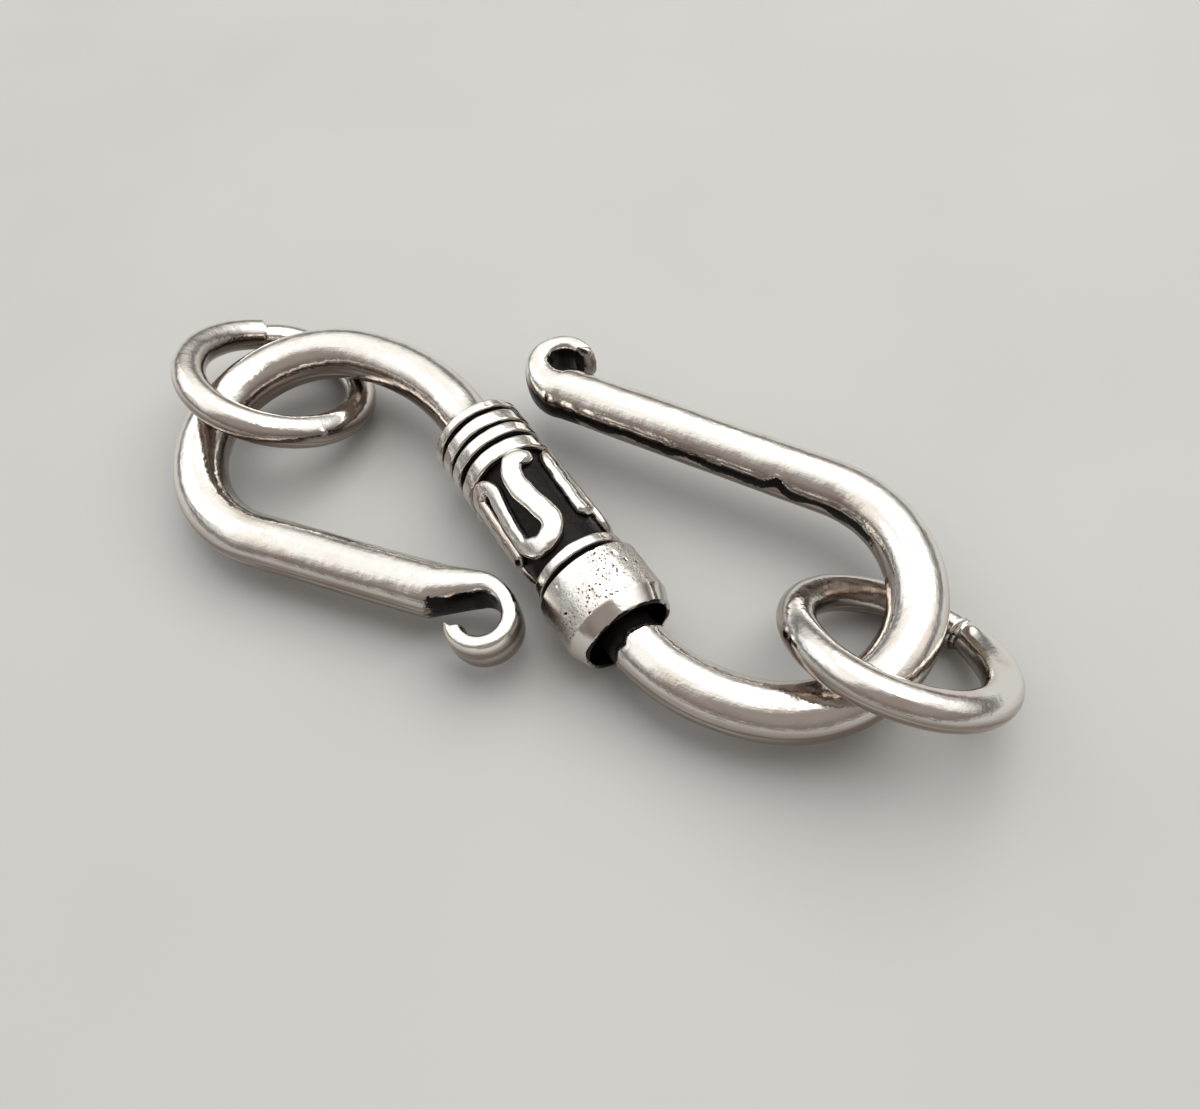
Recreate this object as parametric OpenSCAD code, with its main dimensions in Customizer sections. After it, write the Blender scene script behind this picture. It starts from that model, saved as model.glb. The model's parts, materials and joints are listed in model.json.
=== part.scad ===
// S-hook clasp for a necklace or bracelet: one bent wire with a scrolled bead soldered
// round its middle, and a closed jump ring hanging loose on each end bend.
//
// The clasp is drawn level, with the bead's axis along X and the wire's middle plane at
// z = 0. It is then leaned until both rings and the bead's collar touch the table at
// z = 0, below the middle of the wire. "Left" is the +X half, "right" the -X half.

/* [Wire] */
// Diameter of the hook's round wire
wire_d = 2.05; // [1.8:0.05:2.3]

/* [Left half of the hook] */
// Straight wire from the middle to the shoulder
left_lead = 5.74; // [5.5:0.02:7]
// Radius of the gentle shoulder bend
left_shoulder_r = 8.6; // [7:0.1:11]
// Turn of the shoulder bend in degrees
left_shoulder_turn = 37; // [28:1:42]
// Radius of the end bend, where the ring hangs
left_bend_r = 4.6; // [4.2:0.05:5.2]
// Turn of the end bend in degrees
left_bend_turn = 180; // [165:1:188]
// Straight leg from the end bend to the curl
left_leg = 7.4; // [6.4:0.1:8.2]

/* [Right half of the hook] */
// Straight wire from the middle to the shoulder
right_lead = 5.84; // [5.6:0.02:7]
// Radius of the gentle shoulder bend
right_shoulder_r = 7.1; // [6:0.1:9]
// Turn of the shoulder bend in degrees
right_shoulder_turn = 44; // [34:1:48]
// Radius of the end bend, where the ring hangs
right_bend_r = 4.5; // [4.1:0.05:5.1]
// Turn of the end bend in degrees
right_bend_turn = 165; // [150:1:172]
// Straight leg from the end bend to the curl
right_leg = 10.8; // [9.8:0.1:11.6]

/* [Forged curls] */
// Width of the flattened strip, across the curl
strip_w = 0.72; // [0.5:0.02:1]
// Height of the flattened strip
strip_h = 1.75; // [1.4:0.05:2.2]
// Length over which the left end of the wire thins to the strip
left_taper_l = 2.8; // [2.2:0.1:3.4]
// Part of that length that is still straight
left_taper_lead = 1.6; // [1:0.1:2]
// Length over which the right end of the wire thins to the strip
right_taper_l = 5.6; // [4.8:0.1:6]
// Part of that length that is still straight
right_taper_lead = 0.2; // [0.2:0.05:0.6]
// Room left inside a curl where it begins
curl_lead_room = 0.02; // [0.02:0.02:0.4]
// Turn of that first part, in degrees
curl_lead_turn = 60; // [45:1:75]
// Outer radius of the closed part of the left curl
left_curl_r = 1.38; // [1.25:0.02:1.6]
// Turn of that part in degrees
left_curl_turn = 178; // [150:1:190]
// Outer radius of the closed part of the right curl
right_curl_r = 1.46; // [1.42:0.01:1.6]
// Turn of that part in degrees
right_curl_turn = 158; // [148:1:168]
// Slant of the cut tip in degrees
tip_slant = 30; // [0:1:40]

/* [Bead] */
// Distance from the clasp's middle to the bead's middle, toward the collar
bead_offset = 0.76; // [0.5:0.02:0.9]
// Outer radius of the sleeve that all the ornament is soldered to
sleeve_r = 1.5; // [1.4:0.02:1.6]
// Widths of the four end bands, from the outermost inward
band_w = [0.41, 0.57, 0.53, 0.61]; // [0.35:0.01:0.7]
// Gaps between those bands
band_gap = [0.2, 0.15, 0.23]; // [0.1:0.01:0.3]
// Height of the end bands above the sleeve
band_h = 0.34; // [0.2:0.01:0.45]
// Length of the sunk field that holds the scrolls
field_l = 4.53; // [4.4:0.01:4.9]
// Width of the narrow band beside the collar
lower_band_w = 0.43; // [0.3:0.01:0.6]
// Height of the narrow band above the sleeve
lower_band_h = 0.3; // [0.2:0.01:0.4]
// Gap between the narrow band and the collar
collar_gap = 0.29; // [0.15:0.01:0.4]
// Length of the collar
collar_l = 2.55; // [2.2:0.05:2.8]
// Outer radius of the collar
collar_r = 2; // [1.85:0.01:2.1]
// Length of the bevel at the collar's open end
bevel_l = 0.6; // [0.4:0.05:0.8]
// How far the bevel draws the collar in
bevel_h = 0.26; // [0.15:0.01:0.35]
// Depth of the recess round the wire inside the collar's open end
recess_l = 1; // [0.6:0.05:1.3]
// Wall of the collar round that recess
recess_wall = 0.18; // [0.14:0.01:0.24]

/* [Scrolls] */
// Places of the scrolls round the bead, in degrees; they were set by eye, not evenly
scroll_places = [0, 128, 234]; // [0:1:360]
// Width of the scroll wire
scroll_w = 0.6; // [0.5:0.02:0.66]
// Height of the scroll wire above the sleeve
scroll_h = 0.36; // [0.2:0.01:0.4]
// Gap left between the sleeve and the laid scroll wire
solder_gap = 0.02; // [0.015:0.005:0.04]

/* [Jump rings] */
// Diameter of the rings' wire
ring_wire_d = 1.3; // [1.1:0.05:1.5]
// Outer diameter of the rings
ring_od = 8.1; // [7.8:0.1:8.6]
// Clearance where a ring passes over or under the hook
ring_clearance = 0.06; // [0.03:0.01:0.1]
// Distance of the left ring's centre inside its bend's centre line
left_ring_inset = 0.68; // [0.4:0.02:0.9]
// Place of the left ring along its bend, in degrees from the shoulder
left_ring_station = 52; // [48:1:62]
// Distance of the right ring's centre inside its bend's centre line
right_ring_inset = 0.2; // [0:0.02:0.5]
// Place of the right ring along its bend, in degrees from the shoulder
right_ring_station = 66.5; // [60:0.5:80]
// Turn of both rings' low side away from the bend's tangent, in degrees
ring_turn = 6; // [0:1:8]
// Extra tilt of the right ring, which stands a little propped, in degrees
right_ring_prop = 6; // [0:1:8]

/* [Hidden] */
$fn = 96;

wire_r = wire_d / 2;
ring_wire_r = ring_wire_d / 2;
ring_r = (ring_od - ring_wire_d) / 2;

bright = "silver";
dull = "darkgray";
black = "dimgray";

// ---- The hook's path: a pose is [x, y, heading in degrees] ----

// Pose after a straight run of length l
function run_end(p, l) = [p.x + l * cos(p.z), p.y + l * sin(p.z), p.z];

// Pose after a bend of radius r through turn degrees; both are negative to the right
function bend_end(p, r, turn) = [
    p.x + r * (sin(p.z + turn) - sin(p.z)),
    p.y - r * (cos(p.z + turn) - cos(p.z)),
    p.z + turn
];

// Point at distance r to the left of a pose
function left_of(p, r) = [p.x - r * sin(p.z), p.y + r * cos(p.z)];

left_shoulder = run_end([0, 0, 0], left_lead);
left_bend = bend_end(left_shoulder, left_shoulder_r, left_shoulder_turn);
left_leg_start = bend_end(left_bend, left_bend_r, left_bend_turn);

right_shoulder = run_end([0, 0, 180], right_lead);
right_bend = bend_end(right_shoulder, right_shoulder_r, right_shoulder_turn);
right_leg_start = bend_end(right_bend, right_bend_r, right_bend_turn);

// A run of wire is a chain: each piece carries the next one at its far end. A hair-thin
// band covers each joint, so that the pieces fuse cleanly whatever their sizes.
seam_l = 0.1;
seam_h = 0.001;

module seam_band() {
    rotate([0, 90, 0])
        translate([0, 0, -seam_l / 2])
            cylinder(r = wire_r + seam_h, h = seam_l);
}

module straight_wire(l) {
    union() {
        rotate([0, 90, 0]) cylinder(r = wire_r, h = l);
        if ($children > 0) translate([l, 0, 0]) seam_band();
    }
    translate([l, 0, 0]) children();
}

module bent_wire(r, turn) {
    translate([0, r, 0]) {
        union() {
            rotate(-90)
                rotate_extrude(angle = turn)
                    translate([r, 0])
                        circle(r = wire_r);
            rotate(turn) translate([0, -r, 0]) seam_band();
        }
        rotate(turn) translate([0, -r, 0]) children();
    }
}

// ---- The forged curls: a strip swept along its outer edge ----

curl_lead_r = wire_d + curl_lead_room;
curl_lead_l = curl_lead_r * curl_lead_turn * PI / 180;
curl_steps = 44;
curl_sides = 28;
// Exponent of the section's superellipse: 2 is round, more is squarer
round_power = 2;
forged_power = 3.2;
// The sweep starts this far inside the leg, with this much less radius, to join it cleanly
curl_sink = 0.2;
curl_slip = 0.004;

// Pose on the outer edge at length l, from the edge's pose where the taper starts. After
// the straight lead the edge bends at the lead's radius and then at r.
function edge_pose(e, lead, r, l) =
    l <= lead ? run_end(e, l) :
    let (a = run_end(e, lead), m = l - lead)
    m <= curl_lead_l ? bend_end(a, -curl_lead_r, -m / curl_lead_r * 180 / PI) :
    let (b = bend_end(a, -curl_lead_r, -curl_lead_turn))
    bend_end(b, -r, -(m - curl_lead_l) / r * 180 / PI);

function mix(a, b, t) = a + (b - a) * t;
// The taper is steep at its shoulder and runs out gently
function eased(t) = 1 - pow(1 - t, 1.7);
function spread(v, power) = sign(v) * pow(abs(v), 2 / power);

// Section of the strip at edge pose p, a part t of the way through the taper; across is 0
// at the outer edge and the width at the inner one
function curl_section(p, t, slant) =
    let (
        w = mix(wire_d, strip_w, t),
        h = mix(wire_d, strip_h, t),
        power = mix(round_power, forged_power, t)
    ) [
        for (i = [0 : curl_sides - 1])
            let (
                a = 360 * i / curl_sides,
                across = curl_slip + (w / 2 - curl_slip) * (1 + spread(cos(a), power)),
                up = (h / 2 - curl_slip) * spread(sin(a), power),
                q = run_end(p, -across * tan(slant))
            )
            concat(left_of(q, -across), up)
    ];

// Closed skin over a list of equal rings of points
module skin(rings) {
    count = len(rings);
    sides = len(rings[0]);
    walls = [
        for (i = [0 : count - 2], j = [0 : sides - 1])
            let (k = (j + 1) % sides)
            each [
                [i * sides + j, i * sides + k, (i + 1) * sides + k],
                [i * sides + j, (i + 1) * sides + k, (i + 1) * sides + j]
            ]
    ];
    ends = [
        [for (j = [sides - 1 : -1 : 0]) j],
        [for (j = [0 : sides - 1]) (count - 1) * sides + j]
    ];
    polyhedron([for (ring = rings) each ring], concat(walls, ends), convexity = 6);
}

module curl(leg_end, taper_l, lead, r, turn) {
    edge = concat(left_of(leg_end, wire_r), leg_end.z);
    curl_l = lead + curl_lead_l + r * turn * PI / 180;
    skin([
        for (i = [0 : curl_steps])
            let (
                l = mix(-curl_sink, curl_l, i / curl_steps),
                t = eased(min(1, max(0, l / taper_l)))
            )
            curl_section(edge_pose(edge, lead, r, l), t, i == curl_steps ? tip_slant : 0)
    ]);
}

module hook_wire() {
    color(bright) {
        translate([-right_lead, 0, 0])
            straight_wire(right_lead + left_lead)
                bent_wire(left_shoulder_r, left_shoulder_turn)
                    bent_wire(left_bend_r, left_bend_turn)
                        straight_wire(left_leg);
        rotate(180)
            translate([right_lead, 0, 0]) {
                seam_band();
                bent_wire(right_shoulder_r, right_shoulder_turn)
                    bent_wire(right_bend_r, right_bend_turn)
                        straight_wire(right_leg);
            }
        curl(run_end(left_leg_start, left_leg),
             left_taper_l, left_taper_lead, left_curl_r, left_curl_turn);
        curl(run_end(right_leg_start, right_leg),
             right_taper_l, right_taper_lead, right_curl_r, right_curl_turn);
    }
}

// ---- The bead, laid out from its banded end toward the collar ----

function total(v, n) = n == 0 ? 0 : v[n - 1] + total(v, n - 1);

band_count = len(band_w);
bands_l = total(band_w, band_count) + total(band_gap, band_count - 1);
bead_l = bands_l + field_l + lower_band_w + collar_gap + collar_l;
bead_left = bead_l / 2 - bead_offset;
field_left = bead_left - bands_l;
lower_band_left = field_left - field_l;
collar_left = lower_band_left - lower_band_w - collar_gap;
collar_right = collar_left - collar_l;
sleeve_right = collar_right + recess_l;
edge_round = 0.12;

// Revolves a profile of [radius, x] about the bead's axis
module revolve_bead() {
    rotate([0, 90, 0])
        rotate_extrude()
            children();
}

// Half section of a raised band with rounded corners, from x to x + w
module band_profile(x, w, h) {
    translate([sleeve_r, x]) square([h - edge_round, w]);
    translate([sleeve_r, x + edge_round]) square([h, w - 2 * edge_round]);
    for (y = [x + edge_round, x + w - edge_round])
        translate([sleeve_r + h - edge_round, y]) circle(r = edge_round);
}

module bead_sleeve() {
    color(black)
        revolve_bead()
            translate([wire_r, sleeve_right])
                square([sleeve_r - wire_r, bead_left - sleeve_right]);
}

// One of the end bands, counted from the outermost
module end_band(i) {
    x = bead_left - total(band_w, i + 1) - total(band_gap, i);
    color(bright) revolve_bead() band_profile(x, band_w[i], band_h);
}

module lower_band() {
    color(bright) revolve_bead() band_profile(lower_band_left - lower_band_w, lower_band_w, lower_band_h);
}

// Casting pits, spread over the collar by the golden angle
pit_count = 13;
pit_r = 0.2;
golden_angle = 137.5;

module collar_pits() {
    for (i = [0 : pit_count - 1]) {
        size = pit_r * (0.55 + 0.45 * abs(sin(100 * i)));
        along = mix(collar_left - 0.3, collar_right + bevel_l + 0.1, (i * 5 % pit_count) / pit_count);
        translate([along, 0, 0])
            rotate([i * golden_angle, 0, 0])
                translate([0, 0, collar_r + 0.35 * size])
                    sphere(r = size, $fn = 32);
    }
}

module end_collar() {
    recess_r = collar_r - bevel_h - recess_wall;
    color(dull)
        difference() {
            revolve_bead()
                polygon([
                    [sleeve_r, collar_left],
                    [collar_r - edge_round, collar_left],
                    [collar_r, collar_left - edge_round],
                    [collar_r, collar_right + bevel_l],
                    [collar_r - bevel_h, collar_right],
                    [recess_r, collar_right],
                    [recess_r, sleeve_right],
                    [sleeve_r, sleeve_right]
                ]);
            collar_pits();
        }
}

// ---- The scrolls: a half-round wire laid on the sleeve ----

// The scroll's path on the unrolled sleeve, as [length or radius, turn]: turn 0 is straight.
// u runs round the bead and v along it; the path starts at the hooked tip, heading up.
scroll_start = [0.6, 1.13, 90];
scroll_path = [
    [0.33, 140],
    [1.1, 35],
    [3.4, 15],
    [1.03, 0],
    [-0.72, -192],
    [-10.2, -12],
    [0.48, 190],
    [2.7, 0]
];
scroll_step = 0.2;
scroll_sides = 8;
// Exponent of the arch: 2 is half round, more is squarer
scroll_power = 2.6;
scroll_mean_r = sleeve_r + scroll_h / 2;
// The path is drawn from a point this far above the middle of its field
scroll_rise = 0.47;
scroll_mid = field_left - field_l / 2 + scroll_rise;

function piece_end(p, s) = s[1] == 0 ? run_end(p, s[0]) : bend_end(p, s[0], s[1]);
function piece_part(s, t) = s[1] == 0 ? [s[0] * t, 0] : [s[0], s[1] * t];
function piece_length(s) = s[1] == 0 ? s[0] : s[0] * s[1] * PI / 180;
function path_pose(n) = n == 0 ? scroll_start : piece_end(path_pose(n - 1), scroll_path[n - 1]);

scroll_poses = [
    scroll_start,
    for (n = [0 : len(scroll_path) - 1])
        let (steps = ceil(piece_length(scroll_path[n]) / scroll_step), from = path_pose(n))
        for (k = [1 : steps])
            piece_end(from, piece_part(scroll_path[n], k / steps))
];

// A point of the unrolled field, raised by h, wrapped onto the sleeve
function wrap(q, h) =
    let (a = q.x / scroll_mean_r * 180 / PI, r = sleeve_r + solder_gap + h)
    [scroll_mid + q.y, -r * sin(a), r * cos(a)];

// Half-round section: an arch of points and one more in the middle of the base.
// The wire narrows a little toward both ends.
function scroll_section(p, t) =
    let (size = 1 - 0.25 * pow(abs(2 * t - 1), 6))
    [
        for (i = [0 : scroll_sides - 1])
            let (
                a = 180 * i / (scroll_sides - 2),
                base = i == scroll_sides - 1,
                side = base ? 0 : size * scroll_w / 2 * spread(cos(a), scroll_power),
                h = base ? 0 : size * scroll_h * spread(sin(a), scroll_power)
            )
            wrap(left_of(p, -side), h)
    ];

module scroll(i) {
    last = len(scroll_poses) - 1;
    color(bright)
        rotate([scroll_places[i], 0, 0])
            skin([for (k = [0 : last]) scroll_section(scroll_poses[k], k / last)]);
}

// ---- The jump rings: each hangs round its bend and lies as flat as the wire lets it ----

// A ring's pose is [centre, tilt, low], tilted by tilt toward the azimuth low.
// The point at angle t of the tube's centre line, which is lowest at t = 90
function ring_point(pose, t) =
    let (level = [-sin(pose[2]), cos(pose[2]), 0],
         down = [cos(pose[1]) * cos(pose[2]), cos(pose[1]) * sin(pose[2]), -sin(pose[1])])
    pose[0] + ring_r * (cos(t) * level + sin(t) * down);

// Gap between a ring and its bend, for ring angles from t0 to t1
function bend_gap(pose, centre, bend_r, t0, t1) =
    min([
        for (t = [t0 : 3 : t1])
            let (q = ring_point(pose, t) - [centre.x, centre.y, 0])
            norm([norm([q.x, q.y]) - bend_r, q.z]) - wire_r - ring_wire_r
    ]);

// Least tilt that clears the bend above and below, by halving the range
function least_tilt(at, low, centre, bend_r, lo, hi, n) =
    let (mid = (lo + hi) / 2)
    n == 0 ? hi :
    bend_gap([at, mid, low], centre, bend_r, 0, 360) < ring_clearance ?
        least_tilt(at, low, centre, bend_r, mid, hi, n - 1) :
        least_tilt(at, low, centre, bend_r, lo, mid, n - 1);

// Greatest lift at which the ring's low side still clears the wire above it
function most_lift(at, tilt, low, centre, bend_r, lo, hi, n) =
    let (mid = (lo + hi) / 2)
    n == 0 ? lo :
    bend_gap([at + [0, 0, mid], tilt, low], centre, bend_r, 0, 180) < ring_clearance ?
        most_lift(at, tilt, low, centre, bend_r, lo, mid, n - 1) :
        most_lift(at, tilt, low, centre, bend_r, mid, hi, n - 1);

// side is -1 where the ring goes under the wire on the shoulder's side, else 1
function ring_pose(bend, bend_r, station, inset, side, prop) =
    let (
        centre = left_of(bend, bend_r),
        out = bend.z - 90 + station,
        at = concat(centre + (bend_r - inset) * [cos(out), sin(out)], 0),
        low = out + side * 90 + ring_turn,
        tilt = prop + least_tilt(at, low, centre, bend_r, 5, 60, 20)
    )
    [at + [0, 0, most_lift(at, tilt, low, centre, bend_r, 0, wire_r, 20)], tilt, low];

left_ring = ring_pose(left_bend, left_bend_r, left_ring_station, left_ring_inset, -1, 0);
right_ring = ring_pose(right_bend, right_bend_r, right_ring_station, right_ring_inset, 1,
                       right_ring_prop);

module jump_ring(pose) {
    color(bright)
        translate(pose[0])
            rotate([0, pose[1], pose[2]])
                rotate_extrude()
                    translate([ring_r, 0])
                        circle(r = ring_wire_r);
}

// ---- The rest: the plane that touches both rings and the collar from below ----

function unit(v) = v / norm(v);
function ring_normal(pose) =
    [sin(pose[1]) * cos(pose[2]), sin(pose[1]) * sin(pose[2]), cos(pose[1])];

// Lowest point of a ring, or of a disc of radius r, when up is the unit vector w
function disc_foot(c, n, r, w) = c - r * unit(w - (w * n) * n);
function ring_foot(pose, w) = disc_foot(pose[0], ring_normal(pose), ring_r, w) - ring_wire_r * w;
function collar_foot(w) = disc_foot([collar_right + bevel_l, 0, 0], [1, 0, 0], collar_r, w);

function feet(w) = [ring_foot(left_ring, w), ring_foot(right_ring, w), collar_foot(w)];
function rest_up(w, n) =
    n == 0 ? w :
    let (f = feet(w), up = unit(cross(f[1] - f[0], f[2] - f[0])))
    rest_up(up.z < 0 ? -up : up, n - 1);

table_up = rest_up([0, 0, 1], 8);
table_drop = feet(table_up)[0] * table_up;

module at_rest() {
    translate([0, 0, -table_drop])
        rotate(a = acos(table_up.z), v = cross(table_up, [0, 0, 1]))
            children();
}

at_rest() hook_wire();
at_rest() bead_sleeve();
for (i = [0 : band_count - 1])
    at_rest() end_band(i);
for (i = [0 : len(scroll_places) - 1])
    at_rest() scroll(i);
at_rest() lower_band();
at_rest() end_collar();
at_rest() jump_ring(left_ring);  // left_jump_ring
at_rest() jump_ring(right_ring);  // right_jump_ring
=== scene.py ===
"""Looks for the s-hook clasp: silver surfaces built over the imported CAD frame.

Lengths below are in millimetres and angles in degrees, as in the CAD source. "Level" points are in the
clasp's own frame, with the bead's axis along X and the wire's middle plane at z = 0; at_rest() takes
them to the row frame, in metres, where the clasp leans on its rings and its collar.
"""

import json
import math

import bpy
import numpy as np
from mathutils import Matrix, Vector, noise


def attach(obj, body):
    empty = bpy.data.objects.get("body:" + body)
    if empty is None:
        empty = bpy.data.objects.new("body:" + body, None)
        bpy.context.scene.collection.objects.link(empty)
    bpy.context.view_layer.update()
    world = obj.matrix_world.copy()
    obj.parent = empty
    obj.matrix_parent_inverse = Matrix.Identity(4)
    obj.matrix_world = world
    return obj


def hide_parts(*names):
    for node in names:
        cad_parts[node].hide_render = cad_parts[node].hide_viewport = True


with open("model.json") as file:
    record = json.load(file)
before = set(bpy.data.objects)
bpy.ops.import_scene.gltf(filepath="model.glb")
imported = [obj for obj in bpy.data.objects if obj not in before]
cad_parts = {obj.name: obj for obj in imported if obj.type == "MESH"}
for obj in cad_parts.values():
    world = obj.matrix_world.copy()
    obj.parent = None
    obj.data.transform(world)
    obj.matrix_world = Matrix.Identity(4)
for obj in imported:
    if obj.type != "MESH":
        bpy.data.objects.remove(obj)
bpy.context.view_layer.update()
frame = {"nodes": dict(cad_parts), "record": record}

MM = 0.001
# What a material's name adds to its slot's name, and a piece's name to its node's name
LOOK = "_look"
SKIN = "_skin"

# The clasp's lean on the table: angle, axis and lift of the wire's middle plane
LEAN = 4.06318
LEAN_AXIS = Vector((-0.882559, -0.470201, 0.0))
LIFT = 2.17913
REST = Matrix.Translation((0, 0, LIFT)) @ Matrix.Rotation(math.radians(LEAN), 4, LEAN_AXIS)
REST_TURN = np.array(REST)[:3, :3].T
REST_SHIFT = np.array(REST)[:3, 3]

# The hook's wire, as (length, 0) for a run and (radius, turn) for a bend
WIRE_R = 1.025
LEFT_PATH = [(5.74, 0), (8.6, 37), (4.6, 180), (7.4, 0)]
RIGHT_PATH = [(5.84, 0), (7.1, 44), (4.5, 165), (10.8, 0)]
STRIP_W, STRIP_H = 0.72, 1.75
# Sections are superellipses of these powers: the drawn wire's and the forged strip's
ROUND_POWER, FORGED_POWER = 2.0, 3.2
CURL_LEAD_R, CURL_LEAD_TURN = 2.07, 60
# Length of taper, straight part of it, radius and turn of the closed part, slant of the cut tip
LEFT_CURL = (2.8, 1.6, 1.38, 192, 48)
RIGHT_CURL = (5.6, 0.2, 1.46, 164, 30)

# The bead, from its banded end toward the collar
BEAD_OFFSET = 0.76
SLEEVE_R = 1.5
BAND_W = [0.41, 0.57, 0.53, 0.61]
BAND_GAP = [0.2, 0.15, 0.23]
BAND_H = 0.34
FIELD_L = 4.53
LOWER_BAND_W, LOWER_BAND_H = 0.43, 0.3
COLLAR_GAP, COLLAR_L, COLLAR_R = 0.29, 2.55, 2.0
BEVEL_L, BEVEL_H = 0.6, 0.26
RECESS_L, RECESS_WALL = 1.0, 0.18

BANDS_L = sum(BAND_W) + sum(BAND_GAP)
BEAD_L = BANDS_L + FIELD_L + LOWER_BAND_W + COLLAR_GAP + COLLAR_L
BEAD_LEFT = BEAD_L / 2 - BEAD_OFFSET
FIELD_LEFT = BEAD_LEFT - BANDS_L
LOWER_BAND_LEFT = FIELD_LEFT - FIELD_L
COLLAR_LEFT = LOWER_BAND_LEFT - LOWER_BAND_W - COLLAR_GAP
COLLAR_RIGHT = COLLAR_LEFT - COLLAR_L
SLEEVE_RIGHT = COLLAR_RIGHT + RECESS_L
# Inner radius of the skins of the bands and the collar, just inside the sleeve
FOOT_R = SLEEVE_R - 0.06

# The scrolls
SCROLL_PLACES = [0, 128, 234]
SCROLL_W, SCROLL_H = 0.82, 0.36
SOLDER_GAP = 0.02
# Where along it the wire is squeezed narrower, and what is left of its width there
SCROLL_NECK = (5.7, 8.4)
SCROLL_SQUEEZE = 0.66
SCROLL_START = (0.6, 1.13, 90)
SCROLL_PATH = [
    (0.33, 140), (1.1, 35), (3.4, 15), (1.03, 0),
    (-0.72, -192), (-10.2, -12), (0.48, 190), (2.7, 0),
]
# How far the scrolls sit off the field's middle, toward the end bands
SCROLL_RISE = 0.47
SCROLL_MID = FIELD_LEFT - FIELD_L / 2 + SCROLL_RISE
SCROLL_MEAN_R = SLEEVE_R + SCROLL_H / 2

# The jump rings
RING_R, RING_WIRE_R = 3.4, 0.65


# ---- Small helpers ----

def mix(a, b, t):
    return a + (b - a) * t


def smooth(t):
    """A smooth step from 0 to 1 while t goes from 0 to 1."""
    t = np.clip(t, 0, 1)
    return t * t * (3 - 2 * t)


def rise(value, start, width):
    """A smooth step up that begins where the value passes the start."""
    return smooth((value - start) / width)


def fall(value, end, width):
    """A smooth step down that is done where the value passes the end."""
    return smooth((end - value) / width)


def bell(value, width):
    return np.exp(-(value / width) ** 2)


def spread(v, power):
    """A sine or cosine bent so that a circle becomes a superellipse of the given power."""
    return np.sign(v) * np.abs(v) ** (2 / power)


def noise_at(points, scale, seed):
    """Smooth noise of about -1 to 1 at each point of an array of points, in the array's own shape."""
    flat = np.asarray(points).reshape(-1, 3) * scale + (seed * 17.3, seed * 5.1, seed * 9.7)
    values = np.array([noise.noise(p) for p in flat.tolist()])
    return values.reshape(np.shape(points)[:-1])


def layered(points, layers, shift=0):
    """Noise added up from layers of (height, scale, seed); the shift goes on top of each seed."""
    return sum(height * noise_at(points, scale, seed + shift) for height, scale, seed in layers)


def round_angles(count):
    """Evenly spaced angles round a circle, in radians."""
    return np.arange(count) * 2 * np.pi / count


def angle_gap(a, b):
    """Signed difference of two angles in degrees, between -180 and 180."""
    return (a - b + 180) % 360 - 180


def axis_distance(points):
    """Distance of level points from the bead's axis."""
    return np.hypot(points[..., 1], points[..., 2])


def at_rest(points):
    """Level points in mm to row points in metres."""
    return (points @ REST_TURN + REST_SHIFT) * MM


def make_piece(node, points, faces, attributes, material, body):
    """A smooth mesh piece that stands for a CAD node and rides on its body; points are row points."""
    name = node + SKIN
    mesh = bpy.data.meshes.new(name)
    mesh.from_pydata(points.reshape(-1, 3).tolist(), [], faces)
    for key, values in attributes.items():
        vector = np.shape(values)[-1] == 3
        data = mesh.attributes.new(key, "FLOAT_VECTOR" if vector else "FLOAT", "POINT").data
        data.foreach_set("vector" if vector else "value", np.asarray(values, np.float32).ravel())
    mesh.polygons.foreach_set("use_smooth", [True] * len(mesh.polygons))
    mesh.materials.append(material)
    mesh.update()
    piece = bpy.data.objects.new(name, mesh)
    bpy.context.scene.collection.objects.link(piece)
    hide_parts(node)
    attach(piece, body)


def tube_faces(rings, sides, closed=False, flip=False):
    """Quads between equal rings of points, with a cap at each end unless closed on itself."""
    faces = []
    for i in range(rings if closed else rings - 1):
        a, b = i * sides, (i + 1) % rings * sides
        for j in range(sides):
            k = (j + 1) % sides
            faces.append((a + j, a + k, b + k, b + j))
    if not closed:
        faces.append(tuple(range(sides - 1, -1, -1)))
        faces.append(tuple((rings - 1) * sides + j for j in range(sides)))
    return [face[::-1] for face in faces] if flip else faces


# Upward part of a surface's normal at which the painted underside shade starts, and by how much less it
# is full
PAINTED_SHADE_START, PAINTED_SHADE_FADE = 0.74, 0.5


def underside(row_normals):
    """How much painted shade a side gets, from 0 where it faces up to 1 where it faces aside or down."""
    return fall(row_normals[..., 2], PAINTED_SHADE_START, PAINTED_SHADE_FADE)


# ---- Paths in the plane: a pose is (x, y, heading) ----

def length_of(size, turn):
    """Length of a run (length, 0) or a bend (radius, turn)."""
    return size if turn == 0 else size * math.radians(turn)


def part_way(pose, size, turn, t):
    """Pose a part t of the way along a run or a bend."""
    x, y, h = pose
    a = math.radians(h)
    if turn == 0:
        return (x + size * t * math.cos(a), y + size * t * math.sin(a), h)
    b = math.radians(h + turn * t)
    return (x + size * (math.sin(b) - math.sin(a)), y - size * (math.cos(b) - math.cos(a)), h + turn * t)


def left_of(pose, r):
    """The point at a distance r to the left of a pose."""
    a = math.radians(pose[2])
    return np.array([pose[0] - r * math.sin(a), pose[1] + r * math.cos(a)])


def walk(pose, path, step):
    """(length so far, pose) at about every step along a path."""
    out, s = [], 0.0
    for size, turn in path:
        length = length_of(size, turn)
        count = math.ceil(length / step)
        out += [(s + length * i / count, part_way(pose, size, turn, i / count)) for i in range(count)]
        pose = part_way(pose, size, turn, 1)
        s += length
    return out + [(s, pose)]


# ---- Materials ----

BRIGHT = (0.93, 0.905, 0.86, 1)
WARM = (0.8, 0.7, 0.64, 1)
# Tone of the dull pitted skin, also used as painted shade on sides that face aside or down
TARNISH_AND_SHADE = (0.23, 0.18, 0.15, 1)
BLACK = (0.008, 0.006, 0.006, 1)
BROWN_BLACK = (0.014, 0.01, 0.009, 1)
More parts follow.
